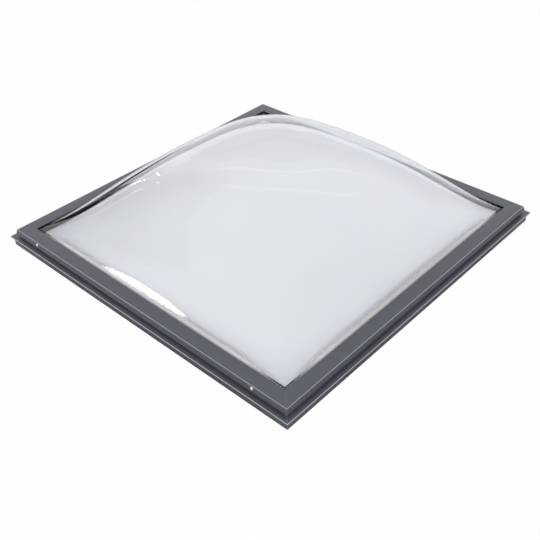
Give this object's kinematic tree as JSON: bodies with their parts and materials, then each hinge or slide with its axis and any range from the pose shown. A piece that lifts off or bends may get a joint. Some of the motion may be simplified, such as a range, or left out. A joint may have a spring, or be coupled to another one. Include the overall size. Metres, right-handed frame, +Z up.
{
  "type": "roof skylight",
  "caption": "Fixed square roof skylight: clear blown dome over an opal dome, clamped in a mitred dark aluminium frame that seats on a roof curb.",
  "frame": {"origin": "middle of the opening, at the foot of the curb frame's outer leg", "axes": "+Z up out of the roof; -Y towards the side whose two cap screws face the camera in the picture"},
  "size_m": [0.93, 0.93, 0.2306],
  "materials": {
    "powder_coated_aluminium": "satin powder coat, anthracite",
    "mill_aluminium": "mill",
    "clear_acrylic": "clear, polished by blowing",
    "opal_acrylic": "opal white",
    "epdm_rubber": "matt",
    "epdm_sponge": "open skin",
    "black_pvc": "extruded",
    "stainless_steel": "bright"
  },
  "bodies": {
    "root": {"cap_front": "powder_coated_aluminium", "frame_front": "powder_coated_aluminium", "dome_spacer_front": "black_pvc", "cap_right": "powder_coated_aluminium", "frame_right": "powder_coated_aluminium", "dome_spacer_right": "black_pvc", "cap_back": "powder_coated_aluminium", "frame_back": "powder_coated_aluminium", "dome_spacer_back": "black_pvc", "cap_left": "powder_coated_aluminium", "frame_left": "powder_coated_aluminium", "dome_spacer_left": "black_pvc", "frame_key_front_right": "mill_aluminium", "cap_key_front_right": "mill_aluminium", "frame_key_back_right": "mill_aluminium", "cap_key_back_right": "mill_aluminium", "frame_key_back_left": "mill_aluminium", "cap_key_back_left": "mill_aluminium", "frame_key_front_left": "mill_aluminium", "cap_key_front_left": "mill_aluminium", "outer_dome": "clear_acrylic", "inner_dome": "opal_acrylic", "bed_gasket": "epdm_rubber", "glazing_gasket": "epdm_rubber", "curb_gasket": "epdm_sponge", "cap_screws": "stainless_steel"}
  },
  "joints": []
}
